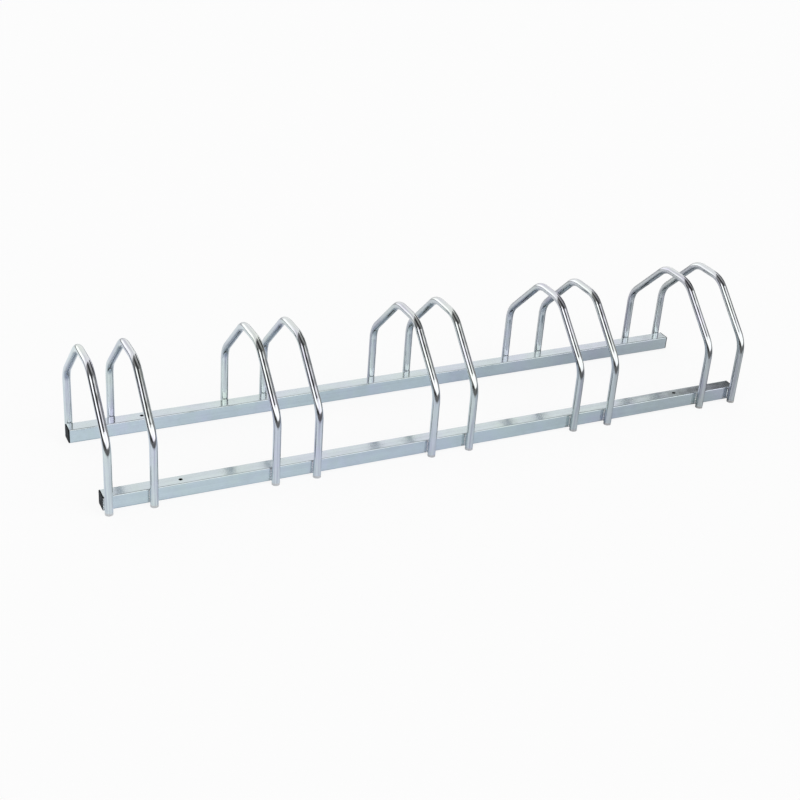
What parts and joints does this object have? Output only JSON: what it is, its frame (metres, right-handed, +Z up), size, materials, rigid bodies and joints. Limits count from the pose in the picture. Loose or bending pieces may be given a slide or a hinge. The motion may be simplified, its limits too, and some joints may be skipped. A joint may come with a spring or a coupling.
{
  "type": "floor bike rack",
  "caption": "Floor bike rack: bent round-tube hoops welded in pairs along parallel square rails, with plastic end caps and floor anchor holes.",
  "frame": {"origin": "on the floor at the middle of the rack, under the centre of its outline", "axes": "+X along the rails towards the right end, +Y from the front rail to the rear rail, +Z up"},
  "size_m": [1.45, 0.326, 0.265],
  "materials": {
    "zinc_tube": "bright blue-white zinc plating on drawn round tube, glossy with fine lengthwise drawing lines",
    "zinc_rail": "bright blue-white zinc plating on square tube, semi-gloss with a faint rainbow tint",
    "zinc_weld": "zinc plated weld bead, rippled",
    "black_plastic": "black polyethylene, satin"
  },
  "bodies": {
    "root": {"front_rail": "zinc_rail", "rear_rail": "zinc_rail", "hoop_01": "zinc_tube", "hoop_02": "zinc_tube", "hoop_03": "zinc_tube", "hoop_04": "zinc_tube", "hoop_05": "zinc_tube", "hoop_06": "zinc_tube", "hoop_07": "zinc_tube", "hoop_08": "zinc_tube", "hoop_09": "zinc_tube", "hoop_10": "zinc_tube", "weld_front_01": "zinc_weld", "weld_front_02": "zinc_weld", "weld_front_03": "zinc_weld", "weld_front_04": "zinc_weld", "weld_front_05": "zinc_weld", "weld_front_06": "zinc_weld", "weld_front_07": "zinc_weld", "weld_front_08": "zinc_weld", "weld_front_09": "zinc_weld", "weld_front_10": "zinc_weld", "weld_rear_01": "zinc_weld", "weld_rear_02": "zinc_weld", "weld_rear_03": "zinc_weld", "weld_rear_04": "zinc_weld", "weld_rear_05": "zinc_weld", "weld_rear_06": "zinc_weld", "weld_rear_07": "zinc_weld", "weld_rear_08": "zinc_weld", "weld_rear_09": "zinc_weld", "weld_rear_10": "zinc_weld", "cap_front_left": "black_plastic", "cap_front_right": "black_plastic", "cap_rear_left": "black_plastic", "cap_rear_right": "black_plastic"}
  },
  "joints": []
}
